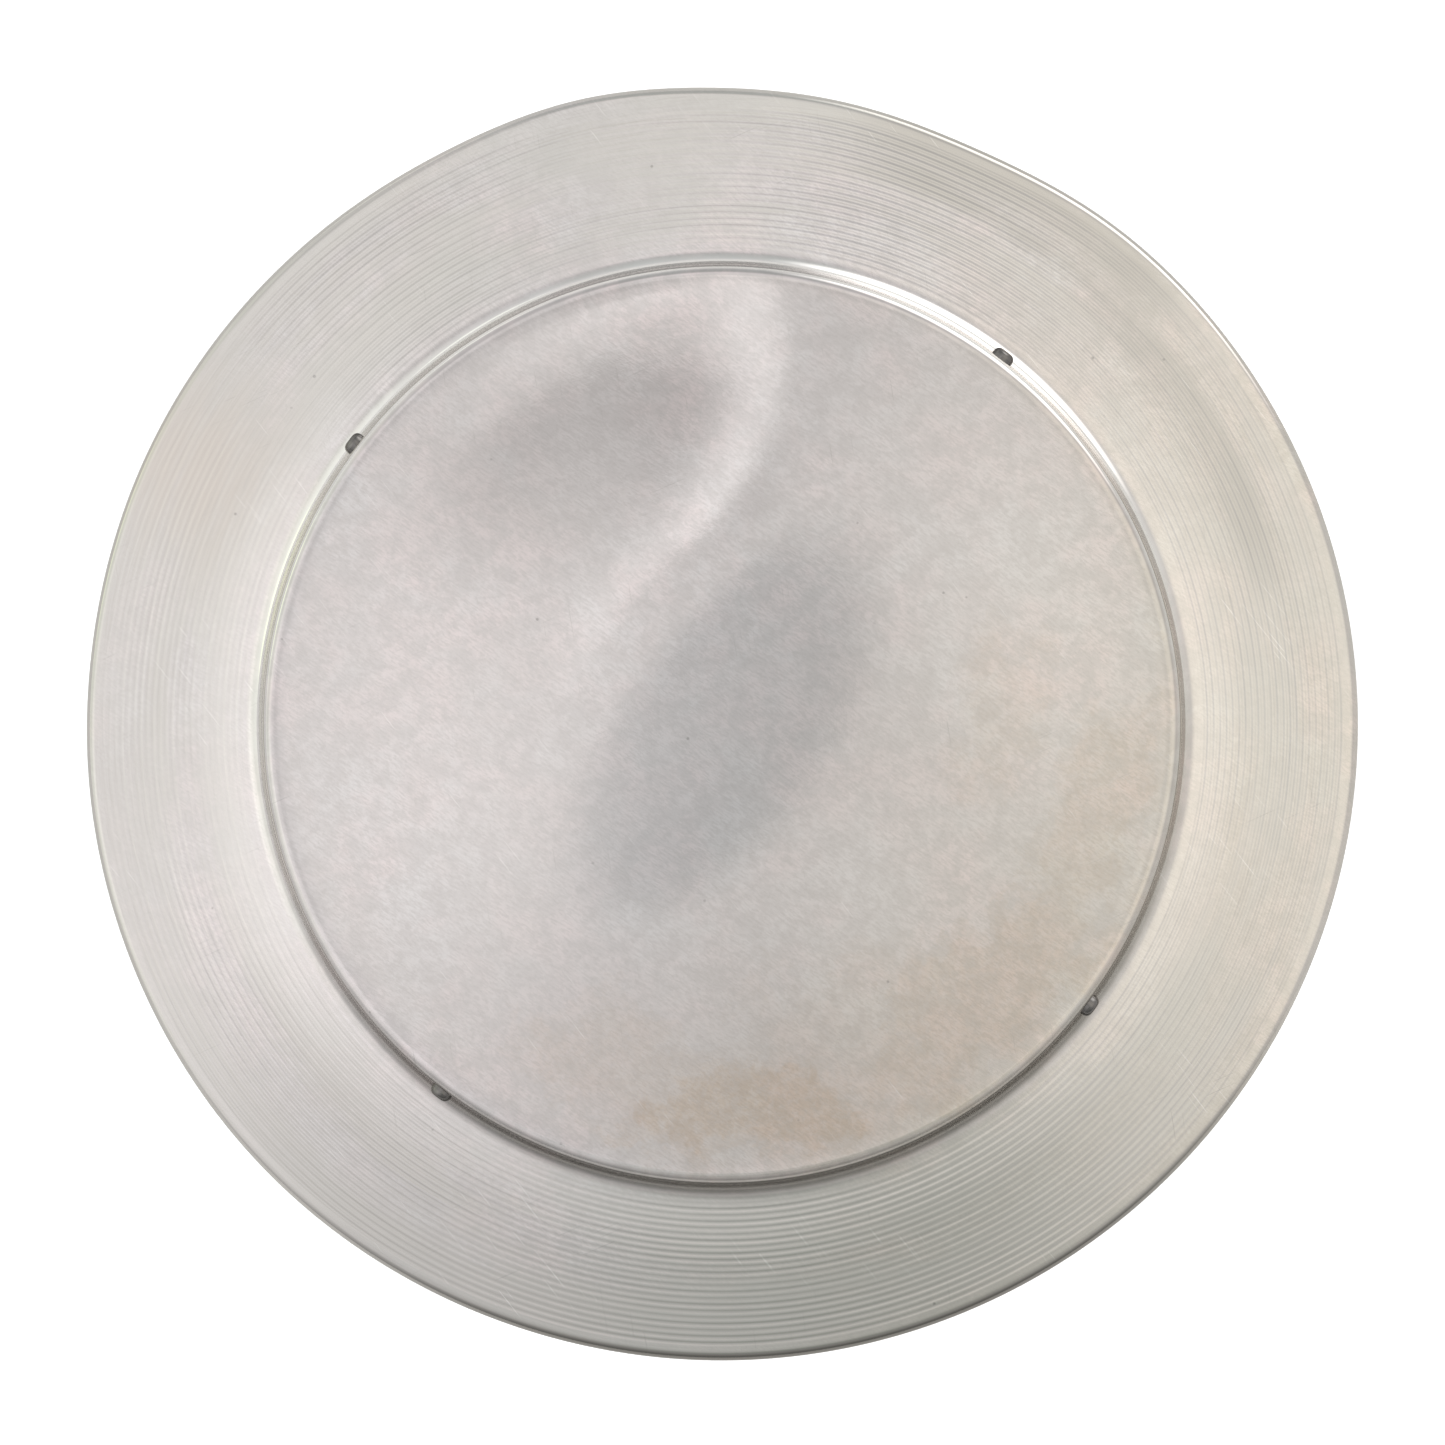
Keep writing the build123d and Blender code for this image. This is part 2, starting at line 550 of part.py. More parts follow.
# ---------------------------------------------------------------- write one file for each node
def main():
    nodes = {
        "head_shell": head_shell(),
        "head_screws": head_screws(),
        "head_spider": head_spider(),
        "hub_set_screws": hub_set_screws(),
        "spindle": spindle(),
        "dust_slinger": dust_slinger(),
        "spindle_circlip": spindle_circlip(),
        "pedestal": pedestal(),
        "wave_washer": wave_washer(),
        "housing_circlip": housing_circlip(),
        "bearing_cap": bearing_cap(),
        "rubber_feet": rubber_feet(),
        "foot_screws": foot_screws(),
    }
    bearings = {"upper": (UPPER_BEARING, UPPER_BEARING_Z), "lower": (LOWER_BEARING, LOWER_BEARING_Z)}
    for place, (sizes, low) in bearings.items():
        for name, shape in bearing_parts(sizes, low).items():
            nodes[f"{place}_bearing_{name}"] = shape
    os.makedirs("parts", exist_ok=True)
    for name, shape in nodes.items():
        export_step(shape, f"parts/{name}.step")


main()
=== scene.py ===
from math import cos, pi, radians, sin, tan

import bpy
import numpy as np
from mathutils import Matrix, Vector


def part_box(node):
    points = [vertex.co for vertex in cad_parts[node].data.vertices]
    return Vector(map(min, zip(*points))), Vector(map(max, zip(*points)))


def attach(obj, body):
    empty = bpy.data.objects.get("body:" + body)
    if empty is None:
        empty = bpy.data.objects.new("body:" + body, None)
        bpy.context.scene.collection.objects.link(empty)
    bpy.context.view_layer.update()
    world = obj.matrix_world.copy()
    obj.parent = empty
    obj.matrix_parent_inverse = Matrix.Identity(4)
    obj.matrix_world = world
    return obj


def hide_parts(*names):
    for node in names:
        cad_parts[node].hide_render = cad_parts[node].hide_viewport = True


# A banding wheel. The spun aluminium head is built here, in finer detail than the CAD solid that it stands
# for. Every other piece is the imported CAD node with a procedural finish. Lengths are in metres.

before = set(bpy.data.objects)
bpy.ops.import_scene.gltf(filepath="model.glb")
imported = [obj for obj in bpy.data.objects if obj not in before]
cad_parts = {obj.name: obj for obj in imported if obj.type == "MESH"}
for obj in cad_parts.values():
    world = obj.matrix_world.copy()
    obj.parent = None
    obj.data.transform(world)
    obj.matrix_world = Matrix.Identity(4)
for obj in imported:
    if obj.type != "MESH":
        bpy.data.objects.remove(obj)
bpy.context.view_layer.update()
SHELL_LOW, SHELL_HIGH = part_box("head_shell")
MM = 0.001

# ---------------------------------------------------------------- sizes of the head sheet
HEIGHT = SHELL_HIGH.z
HEAD_RADIUS = SHELL_HIGH.x
LIP_Z = SHELL_LOW.z
TABLE_RADIUS = 107.8 * MM
SHEET = 1.5 * MM
TABLE_EDGE_RADIUS = 2.8 * MM
STEP_HEIGHT = 14.8 * MM
STEP_FILLET_RADIUS = 5.4 * MM
SKIRT_FALL = tan(radians(12.0))
RIM_RADIUS = 2.5 * MM
GROOVE_FIRST_RADIUS = 113.1 * MM
GROOVE_LAST_RADIUS = 147.4 * MM
GROOVE_PITCH = 1.512 * MM
GROOVE_DEPTH = 0.07 * MM
STEP_Z = HEIGHT - STEP_HEIGHT
RIM_Z = STEP_Z - (HEAD_RADIUS - TABLE_RADIUS) * SKIRT_FALL

# ---------------------------------------------------------------- resolution of the head sheet
SECTORS = 384
ROWS_IN_A_GROOVE = 7
OUTER_STEPS = {"table": 32, "table_edge": 9, "wall": 3, "fillet": 12, "rim": 9, "lip": 2}
INNER_STEPS = {"rim": 3, "skirt": 8, "fillet": 6, "wall": 2, "table_edge": 4, "table": 10}
SHARP_EDGE = radians(50)

# ---------------------------------------------------------------- how use has bent the head (mm and degrees)
# waves in the table: centre x, centre y, half length, half width, turn, height
TABLE_DENTS = (
    (-24, 62, 46, 22, 50, -0.16),
    (6, 40, 60, 16, 52, 0.14),
    (-45, -20, 60, 40, 60, -0.10),
    (50, -30, 55, 35, 40, 0.12),
    (60, 45, 50, 30, -40, -0.08),
    (0, -75, 60, 25, 5, -0.08),
)
DENTS_END = (92, 104)           # the radii between which they fade out
# where the groove is cut deeper or shallower: bearing, width, share of its depth
GROOVE_SWELLS = ((175, 40, -0.50), (130, 28, -0.50), (226, 30, 0.95), (275, 35, 0.10))
# where the groove stops short of the rim: bearing, width, distance
GROOVE_STOP = (98, 14, 3.0)
# where the rim is knocked in or pushed out: bearing, width, distance
RIM_KNOCKS = ((66, 11, -1.5), (103, 10, 1.2), (225, 22, 0.5), (172, 12, -0.3))
# slow waves round the skirt: waves in a turn, shift in radians, height
SKIRT_WAVES = ((3, 0.7, 0.10), (5, 2.1, 0.07), (9, 4.0, 0.04))
SKIRT_WAVES_START = (114, 128)  # the radii between which they fade in


def smooth(low, high, value):
    """0 below low, 1 above high, and an even curve between."""
    share = np.clip((value - low) / (high - low), 0.0, 1.0)
    return share * share * (3.0 - 2.0 * share)


def hump(value, middle, width):
    """1 at the middle, falling away evenly on both sides."""
    return np.exp(-(((value - middle) / width) ** 2))


# ---------------------------------------------------------------- half section of the head sheet
def arc(before, corner, after, radius, steps):
    """The arc that rounds a corner of a half section."""
    before, corner, after = (np.array(point) for point in (before, corner, after))
    back = (before - corner) / np.linalg.norm(before - corner)
    ahead = (after - corner) / np.linalg.norm(after - corner)
    half = np.arccos(np.clip(back @ ahead, -1.0, 1.0)) / 2
    inward = (back + ahead) / np.linalg.norm(back + ahead)
    centre = corner + inward * radius / np.sin(half)
    first = corner + back * radius / np.tan(half) - centre
    last = corner + ahead * radius / np.tan(half) - centre
    sweep = pi - 2 * half
    points = []
    for step in range(steps + 1):
        share = step / steps
        blend = np.sin((1 - share) * sweep) * first + np.sin(share * sweep) * last
        points.append(centre + blend / np.sin(sweep))
    return points


def run(start, end, steps):
    """Points between two others, without the two themselves."""
    return [np.array(start) + (np.array(end) - np.array(start)) * step / steps for step in range(1, steps)]


def outer_section():
    """From beside the centre of the table to the end of the lip."""
    middle = (0.0, HEIGHT)
    edge = (TABLE_RADIUS, HEIGHT)
    step = (TABLE_RADIUS, STEP_Z)
    rim = (HEAD_RADIUS, RIM_Z)
    lip = (HEAD_RADIUS, LIP_Z)
    steps = OUTER_STEPS
    table_edge = arc(middle, edge, step, TABLE_EDGE_RADIUS, steps["table_edge"])
    step_fillet = arc(edge, step, rim, STEP_FILLET_RADIUS, steps["fillet"])
    rim_roll = arc(step, rim, lip, RIM_RADIUS, steps["rim"])
    skirt_width = rim_roll[0][0] - step_fillet[-1][0]
    skirt_rows = round(skirt_width / GROOVE_PITCH * ROWS_IN_A_GROOVE)
    points = run(middle, table_edge[0], steps["table"]) + table_edge
    points += run(table_edge[-1], step_fillet[0], steps["wall"]) + step_fillet
    points += run(step_fillet[-1], rim_roll[0], skirt_rows) + rim_roll
    points += run(rim_roll[-1], lip, steps["lip"]) + [np.array(lip)]
    return np.array(points)


def inner_section():
    """From the end of the lip back to beside the centre of the table, one sheet's thickness inside."""
    slant = SHEET * (np.hypot(1.0, SKIRT_FALL) - SKIRT_FALL)
    lip = (HEAD_RADIUS - SHEET, LIP_Z)
    rim = (HEAD_RADIUS - SHEET, RIM_Z - slant)
    step = (TABLE_RADIUS - SHEET, STEP_Z - slant)
    edge = (TABLE_RADIUS - SHEET, HEIGHT - SHEET)
    middle = (0.0, HEIGHT - SHEET)
    steps = INNER_STEPS
    rim_roll = arc(lip, rim, step, RIM_RADIUS - SHEET, steps["rim"])
    step_fillet = arc(rim, step, edge, STEP_FILLET_RADIUS + SHEET, steps["fillet"])
    table_edge = arc(step, edge, middle, TABLE_EDGE_RADIUS - SHEET, steps["table_edge"])
    points = [np.array(lip)] + rim_roll + run(rim_roll[-1], step_fillet[0], steps["skirt"]) + step_fillet
    points += run(step_fillet[-1], table_edge[0], steps["wall"]) + table_edge
    points += run(table_edge[-1], middle, steps["table"])
    return np.array(points)


# ---------------------------------------------------------------- how the real sheet departs from its section
def table_dents(x, y):
    """Height of the shallow waves in the table, from years of use."""
    waves = np.zeros_like(x)
    for centre_x, centre_y, long, wide, turn, height in TABLE_DENTS:
        along = (x - centre_x * MM) * cos(radians(turn)) + (y - centre_y * MM) * sin(radians(turn))
        across = (y - centre_y * MM) * cos(radians(turn)) - (x - centre_x * MM) * sin(radians(turn))
        waves += height * MM * hump(along, 0, long * MM) * hump(across, 0, wide * MM)
    fade_from, fade_to = DENTS_END
    return waves * (1 - smooth(fade_from * MM, fade_to * MM, np.hypot(x, y)))


def groove_depth(radius, turn):
    """One spiral tool mark, whose radius falls by one pitch in each turn."""
    phase = (radius - GROOVE_FIRST_RADIUS) / GROOVE_PITCH + turn / (2 * pi)
    degrees = np.degrees(turn)
    stop_bearing, stop_width, distance = GROOVE_STOP
    last = GROOVE_LAST_RADIUS - distance * MM * hump(degrees, stop_bearing, stop_width)
    fade = smooth(GROOVE_FIRST_RADIUS - 1.5 * MM, GROOVE_FIRST_RADIUS + 1.0 * MM, radius)
    fade = fade * (1 - smooth(last - 1.5 * MM, last, radius))
    swell = 1.0 + 0.15 * np.sin(3 * turn + 1.0) + 0.12 * np.sin(radius / (4.1 * MM) + 2 * turn)
    swell = swell + 0.40 * np.sin(turn)
    for bearing, width, change in GROOVE_SWELLS:
        swell = swell + change * hump(degrees, bearing, width)
    swell = swell + 0.60 * np.maximum(np.cos(turn), 0)
    swell = swell + 0.14 * np.sin(np.floor(phase) * 2.4) + 0.08 * np.sin(radius / (1.9 * MM) - 7 * turn)
    return GROOVE_DEPTH * fade * swell * (0.5 - 0.5 * np.cos(2 * pi * phase))


def skirt_waves(radius, turn):
    """Height of the slow waves round the skirt, which fade out towards the wall."""
    fade_from, fade_to = SKIRT_WAVES_START
    fade = smooth(fade_from * MM, fade_to * MM, radius)
    wave = sum(height * np.sin(count * turn + shift) for count, shift, height in SKIRT_WAVES)
    return wave * MM * fade


def rim_shift(turn):
    """How far the rim is knocked in (less than 0) or pushed out."""
    degrees = np.degrees(turn)
    return MM * sum(distance * hump(degrees, bearing, width) for bearing, width, distance in RIM_KNOCKS)


def head_sheet():
    """The whole sheet, upper and lower faces, as one closed mesh that stands for the CAD shell."""
    outer, inner = outer_section(), inner_section()
    section = np.concatenate([outer, inner])
    on_top = np.arange(len(section)) < len(outer)
    turns = np.arange(SECTORS) * 2 * pi / SECTORS
    radius, turn = np.meshgrid(section[:, 0], turns, indexing="ij")
    height = np.repeat(section[:, 1][:, None], SECTORS, axis=1)
    on_skirt = (radius > TABLE_RADIUS + STEP_FILLET_RADIUS / 2) & (height > RIM_Z - RIM_RADIUS)
    sink = np.where(on_skirt & on_top[:, None], groove_depth(radius, turn), 0.0)
    height = height - sink * np.cos(np.arctan(SKIRT_FALL)) + skirt_waves(radius, turn)
    reach = radius - sink * np.sin(np.arctan(SKIRT_FALL))
    reach = reach + rim_shift(turn) * smooth(118 * MM, 147 * MM, radius)
    x, y = reach * np.cos(turn), reach * np.sin(turn)
    on_table = (radius < TABLE_RADIUS - TABLE_EDGE_RADIUS + 0.1 * MM) & (height > HEIGHT - 2 * SHEET)
    height = height + np.where(on_table, table_dents(x, y), 0.0)
    rings = np.stack([x, y, height], axis=2).reshape(-1, 3)
    dent = float(table_dents(np.zeros(1), np.zeros(1))[0])
    centres = [(0, 0, HEIGHT + dent), (0, 0, HEIGHT - SHEET + dent)]
    top_centre, low_centre = len(rings), len(rings) + 1
    last_row = (len(section) - 1) * SECTORS
    faces = []
    for sector in range(SECTORS):
        following = (sector + 1) % SECTORS
        faces.append((top_centre, sector, following))
        faces.append((low_centre, last_row + following, last_row + sector))
    for row in range(len(section) - 1):
        for sector in range(SECTORS):
            following = (sector + 1) % SECTORS
            near, far = row * SECTORS, (row + 1) * SECTORS
            faces.append((near + sector, far + sector, far + following, near + following))
    mesh = bpy.data.meshes.new("head_sheet")
    mesh.from_pydata([tuple(point) for point in rings] + centres, [], faces)
    mesh.shade_smooth()
    mesh.set_sharp_from_angle(angle=SHARP_EDGE)
    sheet = bpy.data.objects.new("head_sheet", mesh)
    bpy.context.scene.collection.objects.link(sheet)
    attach(sheet, "wheel")
    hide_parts("head_shell")
    return sheet


# ---------------------------------------------------------------- node helpers
STREAK_RADIUS = 100             # millimetres from the axis where streaks have the length they are given


class Look:
    """A node material, built one node at a time around one Principled BSDF."""

    def __init__(self, name, colour, roughness, metallic):
        self.material = bpy.data.materials.new(name)
        self.material.use_nodes = True
        self.tree = self.material.node_tree
        self.shader = self.tree.nodes["Principled BSDF"]
        self.shader.inputs["Base Color"].default_value = (*colour, 1)
        self.shader.inputs["Roughness"].default_value = roughness
        self.shader.inputs["Metallic"].default_value = metallic
        coordinates = self.add("ShaderNodeTexCoord").outputs["Object"]
        self.place = self.vector("SCALE", coordinates, scale=1 / MM)
        self.heights = None

    def add(self, kind, inputs=None, **settings):
        node = self.tree.nodes.new(kind)
        for name, value in settings.items():
            setattr(node, name, value)
        for name, value in (inputs or {}).items():
            self.feed(node.inputs[name], value)
        return node

    def feed(self, socket, value):
        if isinstance(value, bpy.types.NodeSocket):
            self.tree.links.new(value, socket)
        else:
            socket.default_value = value

    def maths(self, operation, *values):
        node = self.add("ShaderNodeMath", operation=operation)
        for socket, value in zip(node.inputs, values):
            self.feed(socket, value)
        return node.outputs[0]

    def vector(self, operation, *values, scale=None):
        node = self.add("ShaderNodeVectorMath", operation=operation)
        for socket, value in zip(node.inputs, values):
            self.feed(socket, value)
        if scale is not None:
            self.feed(node.inputs["Scale"], scale)
        return node.outputs["Value" if operation in ("LENGTH", "DISTANCE", "DOT_PRODUCT") else "Vector"]

    def times(self, first, *others):
        """Values multiplied together."""
        for other in others:
            first = self.maths("MULTIPLY", first, other)
        return first

    def turned(self, place, degrees):
        """A place turned round the Z axis."""
        inputs = {"Vector": place, "Angle": radians(degrees)}
        return self.add("ShaderNodeVectorRotate", inputs, rotation_type="Z_AXIS").outputs["Vector"]

    def noise(self, place, scale, detail=2.0, roughness=0.5, distortion=0.0):
        """Fractal noise of a place in millimetres, about 0 to 1."""
        node = self.add("ShaderNodeTexNoise", {
            "Vector": place, "Scale": scale, "Detail": detail, "Roughness": roughness,
            "Distortion": distortion,
        })
        return node.outputs["Fac"]

    def between(self, value, low, high, to_low=0.0, to_high=1.0):
        """A value from low to high, moved on a smooth curve to a new range."""
        node = self.add("ShaderNodeMapRange", {
            "Value": value, "From Min": low, "From Max": high, "To Min": to_low, "To Max": to_high,
        }, interpolation_type="SMOOTHSTEP")
        return node.outputs["Result"]

    def mix(self, share, first, second, blend="MIX"):
        """Two colours mixed."""
        node = self.add("ShaderNodeMix", data_type="RGBA", blend_type=blend)
        self.feed(node.inputs["Factor"], share)
        for socket, value in ((node.inputs[6], first), (node.inputs[7], second)):
            self.feed(socket, value if isinstance(value, bpy.types.NodeSocket) else (*value, 1))
        return node.outputs[2]

    def raised(self, height, depth):
        """Adds a height from 0 to 1, of this depth in metres, to the bump of the surface."""
        inputs = {"Height": height, "Strength": 1.0, "Distance": depth}
        if self.heights is not None:
            inputs["Normal"] = self.heights
        self.heights = self.add("ShaderNodeBump", inputs).outputs["Normal"]
        self.feed(self.shader.inputs["Normal"], self.heights)

    def colour(self, value):
        self.feed(self.shader.inputs["Base Color"], value)

    def roughness(self, value):
        self.feed(self.shader.inputs["Roughness"], value)

    def around_axis(self, arc_size, radial_size, height_size):
        """Coordinates whose noise is drawn out into streaks around the Z axis."""
        flat = self.vector("MULTIPLY", self.place, (1, 1, 0))
        radius = self.vector("LENGTH", flat)
        bearing = self.vector("SCALE", self.vector("NORMALIZE", flat), scale=STREAK_RADIUS / arc_size)
        parts = self.add("ShaderNodeSeparateXYZ", {"Vector": self.place})
        rings = self.maths("DIVIDE", radius, radial_size)
        depth = self.maths("ADD", rings, self.maths("DIVIDE", parts.outputs["Z"], height_size))
        lift = self.add("ShaderNodeCombineXYZ", {"Z": depth}).outputs["Vector"]
        return self.vector("ADD", bearing, lift)


class RoundLook(Look):
    """A look for a round piece: it also knows the distance from the Z axis and the side of the piece."""

    def __init__(self, name, colour, roughness, metallic):
        super().__init__(name, colour, roughness, metallic)
        self.flat = self.vector("MULTIPLY", self.place, (1, 1, 0))
        self.radius = self.vector("LENGTH", self.flat)
        self.bearing = self.vector("NORMALIZE", self.flat)

    def from_radius(self, low, high, to_low=0.0, to_high=1.0):
        """A share that changes between two radii in millimetres."""
        return self.between(self.radius, low, high, to_low, to_high)

    def ring(self, inner, full_from, full_to, outer):
        """1 in a ring, and 0 inside its inner and outside its outer radius in millimetres."""
        return self.times(self.from_radius(inner, full_from), self.from_radius(outer, full_to))

    def side(self, direction, low, high, to_low=0.0, to_high=1.0):
        """A share that changes with the cosine of the angle between the bearing and a direction."""
        return self.between(self.vector("DOT_PRODUCT", self.bearing, direction), low, high, to_low, to_high)


# ---------------------------------------------------------------- sides of the head
NEAR = (0.12, -0.99, 0)
NEAR_RIGHT = (0.20, -0.98, 0)
NEAR_LEFT = (-0.65, -0.76, 0)
LEFT = (-0.85, -0.53, 0)
RIGHT = (0.85, 0.53, 0)
RIGHT_EDGE = (0.94, -0.34, 0)
FAR = (0, 1, 0)
FAR_SIDE = (-0.10, 0.99, 0)
FAR_BY_WALL = (0.05, 1.0, 0)
FAR_LEFT = (-0.45, 0.89, 0)
FAR_RIGHT = (0.50, 0.87, 0)

# ---------------------------------------------------------------- colours of the aluminium
PALE_METAL = ((0.629, 0.562, 0.558), (0.591, 0.568, 0.566))
CLOUDED_METAL = (0.545, 0.514, 0.506)
MOTTLED_METAL = (0.512, 0.485, 0.478)
GRAIN_METAL = (0.465, 0.440, 0.430)
LINE_METAL = (0.40, 0.38, 0.36)
# painted highlight, lighter than the metal, for the corner on the far side
PAINTED_CORNER_HIGHLIGHT = (0.90, 0.89, 0.87)
# painted sheen for the skirt beside the wall
PAINTED_SKIRT_SHEEN = (0.735, 0.700, 0.675)
# painted shade for the table's edge and the thin dark line under it
PAINTED_EDGE_SHADE = (0.10, 0.10, 0.10)
# painted shade for the corner at the foot of the wall and the rim
PAINTED_CORNER_SHADE = (0.17, 0.16, 0.145)
# darker colour for the bottom of the spiral groove
GROOVE_BOTTOM_TONE = (0.43, 0.41, 0.385)
PIT = (0.25, 0.24, 0.23)
HAND_MARKS = {
    "band": (0.525, 0.500, 0.470),
    "tone": (0.505, 0.492, 0.462),
    "outer_left": (0.48, 0.46, 0.44),
    "arc": (0.435, 0.415, 0.385),
    "brown": (0.50, 0.455, 0.415),
}
# these two multiply the colour under them
YELLOWED = (0.985, 0.975, 0.878)
STAIN = (0.925, 0.848, 0.755)

# hairline scratches: turn, offset of the noise, colour
SCRATCHES = ((52, 0, (0.78, 0.76, 0.74)), (-24, 300, (0.34, 0.33, 0.32)), (81, 600, (0.36, 0.35, 0.33)))
# dark arcs left by hands: side, inner and outer radius
HAND_ARCS = ((RIGHT, 126, 140), (FAR_RIGHT, 131, 152))
HAND_ARC_FADE = 5
# stains on the table: centre x, centre y, half length, half width, turn, strength
STAINS = (
    (10, -89, 30, 11, 4, 0.95),
    (-22, -80, 26, 14, -18, 0.35),
    (58, -66, 40, 16, 45, 0.55),
    (88, -22, 30, 13, 70, 0.45),
    (66, 2, 20, 12, 80, 0.32),
    (30, -80, 46, 24, 25, 0.25),
    (80, -47, 13, 8, 58, 0.45),
)


# ---------------------------------------------------------------- finishes
def spun_aluminium():
    """Mill-finish sheet, dulled by use: cloudy, grained, scratched round the axis, stained near one edge."""
    look = RoundLook("spun_aluminium", (0.60, 0.56, 0.54), 0.10, 1.0)
    on_skirt = look.from_radius(109, 112)
    in_corner = look.ring(105.4, 106.2, 109.8, 111.0)
    open_face = look.maths("SUBTRACT", 1.0, in_corner)
    cloud = look.noise(look.place, 0.016, detail=4, roughness=0.6, distortion=0.3)
    grey = cloudy_metal(look, cloud)
    streaked = look.vector("DIVIDE", look.turned(look.place, 35), (1.7, 0.42, 1.7))
    grain = look.times(look.noise(streaked, 1.0, detail=4, roughness=0.65), open_face)
    grey = look.mix(look.between(grain, 0.40, 0.64, 0.0, 0.58), grey, GRAIN_METAL)
    warm = look.between(look.vector("DOT_PRODUCT", look.flat, RIGHT_EDGE), -20, 110)
    grey = look.mix(look.times(warm, 0.75), grey, YELLOWED, "MULTIPLY")
    grey = look.mix(stain(look), grey, STAIN, "MULTIPLY")
    grey = hand_marks(look, grey)
    # darker at the bottom of the spiral groove, most at the near left
    grey = darken_groove_bottoms(look, grey, on_skirt)
    lines = look.times(look.noise(look.around_axis(7, 0.3, 0.3), 1.0, detail=2), open_face)
    lined = look.maths("ADD", look.times(on_skirt, 0.20), look.from_radius(107.6, 106.0, 0.0, 0.06))
    grey = look.mix(look.times(look.between(lines, 0.45, 0.75), lined), grey, LINE_METAL)
    grey = scratches(look, grey)
    # painted highlights in the far corner and on the skirt beside the wall
    grey = painted_highlights_by_wall(look, grey)
    # painted shade on the table's edge and a thin painted dark line under it
    grey = shaded_table_edge(look, grey)
    # painted shade in the corner at the foot of the wall and at the near rim
    look.colour(look.mix(corner_and_rim_shade(look), grey, PAINTED_CORNER_SHADE))
    wear = look.maths("ADD", cloud, look.times(on_skirt, 0.35))
    in_the_open = look.maths("MULTIPLY_ADD", open_face, 0.3, 0.7)
    smooth_metal = look.times(look.between(wear, 0.35, 0.95, 0.062, 0.125), in_the_open)
    dull_corner = look.ring(105.0, 106.2, 109.5, 111.5)
    near_side = look.side(NEAR, 0.0, 0.8, 0.0, 0.20)
    look.roughness(look.maths("MULTIPLY_ADD", dull_corner, near_side, smooth_metal))
    look.raised(grain, 4.5e-6)
    look.raised(lines, 1.2e-6)
    return look.material


def cloudy_metal(look, cloud):
    """Bare metal in two pale tints, clouded and mottled."""
    tint = look.noise(look.vector("ADD", look.place, (90, 30, 0)), 0.045, detail=5, roughness=0.65)
    mottle = look.noise(look.place, 0.16, detail=6, roughness=0.7)
    grey = look.mix(look.between(tint, 0.36, 0.64), *PALE_METAL)
    grey = look.mix(look.between(cloud, 0.36, 0.64, 0.0, 0.6), grey, CLOUDED_METAL)
    return look.mix(look.between(mottle, 0.42, 0.60, 0.0, 0.70), grey, MOTTLED_METAL)


def hand_marks(look, grey):
    """Where hands have turned the head: dull bands drawn out round the skirt, browner at the far left."""
    bands = look.noise(look.around_axis(60, 9, 9), 1.0, detail=4, roughness=0.6)
    wear_and_shade = look.times(look.from_radius(114, 126), look.between(bands, 0.44, 0.60, 0.0, 0.62))
    grey = look.mix(wear_and_shade, grey, HAND_MARKS["band"])
    tone_place = look.vector("ADD", look.around_axis(90, 24, 24), (5, 0, 0))
    tone = look.noise(tone_place, 1.0, detail=5, roughness=0.62)
    wear_and_shade = look.times(look.from_radius(110, 118), look.between(tone, 0.40, 0.60, 0.0, 0.62))
    grey = look.mix(wear_and_shade, grey, HAND_MARKS["tone"])
    outer_left = look.times(look.from_radius(118, 146), look.side(LEFT, -0.3, 0.6), 0.55)
    grey = look.mix(outer_left, grey, HAND_MARKS["outer_left"])
    for side, inner, outer in HAND_ARCS:
        dark = look.ring(inner, inner + HAND_ARC_FADE, outer - HAND_ARC_FADE, outer)
        dark = look.times(dark, look.side(side, 0.93, 0.99), look.between(bands, 0.30, 0.60, 0.30, 0.95))
        grey = look.mix(dark, grey, HAND_MARKS["arc"])
    brown = look.between(look.vector("DISTANCE", look.flat, (-122, 58, 0)), 34, 4)
    brown = look.times(brown, look.between(bands, 0.35, 0.6, 0.15, 0.75))
    return look.mix(brown, grey, HAND_MARKS["brown"])


def darken_groove_bottoms(look, grey, on_skirt):
    """Darker colour at the bottom of the spiral groove, most of it at the near left."""
    parts = look.add("ShaderNodeSeparateXYZ", {"Vector": look.place})
    turn = look.maths("ARCTAN2", parts.outputs["Y"], parts.outputs["X"])
    outward = look.maths("SUBTRACT", look.radius, GROOVE_FIRST_RADIUS / MM)
    phase = look.maths("ADD", look.times(outward, 2 * pi * MM / GROOVE_PITCH), turn)
    low = look.maths("MULTIPLY_ADD", look.maths("COSINE", phase), -0.5, 0.5)
    patches = look.noise(look.around_axis(45, 14, 14), 1.0, detail=3)
    near_left = look.between(look.vector("DOT_PRODUCT", look.place, NEAR_LEFT), -20, 100, 0.30, 1.0)
    share = look.times(low, look.between(patches, 0.35, 0.65, 0.10, 0.42), on_skirt)
    share = look.times(share, look.from_radius(147.5, 146), near_left)
    return look.mix(share, grey, GROOVE_BOTTOM_TONE)


def corner_and_rim_shade(look):
    """Share of painted shade in the corner at the foot of the wall and at the rim, thickest on the near side.
    """
    near_side = look.maths("MULTIPLY_ADD", look.side(NEAR, 0.15, 0.90), 0.76, 0.03)
    # painted shade in the corner at the foot of the wall, and on the rim at the near right
    corner = look.times(look.ring(106.7, 107.7, 109.0, 110.9), near_side)
    rim = look.times(look.from_radius(147.4, 149.2), look.side(NEAR_RIGHT, 0.55, 1.0), 0.85)
    return look.maths("ADD", corner, rim)


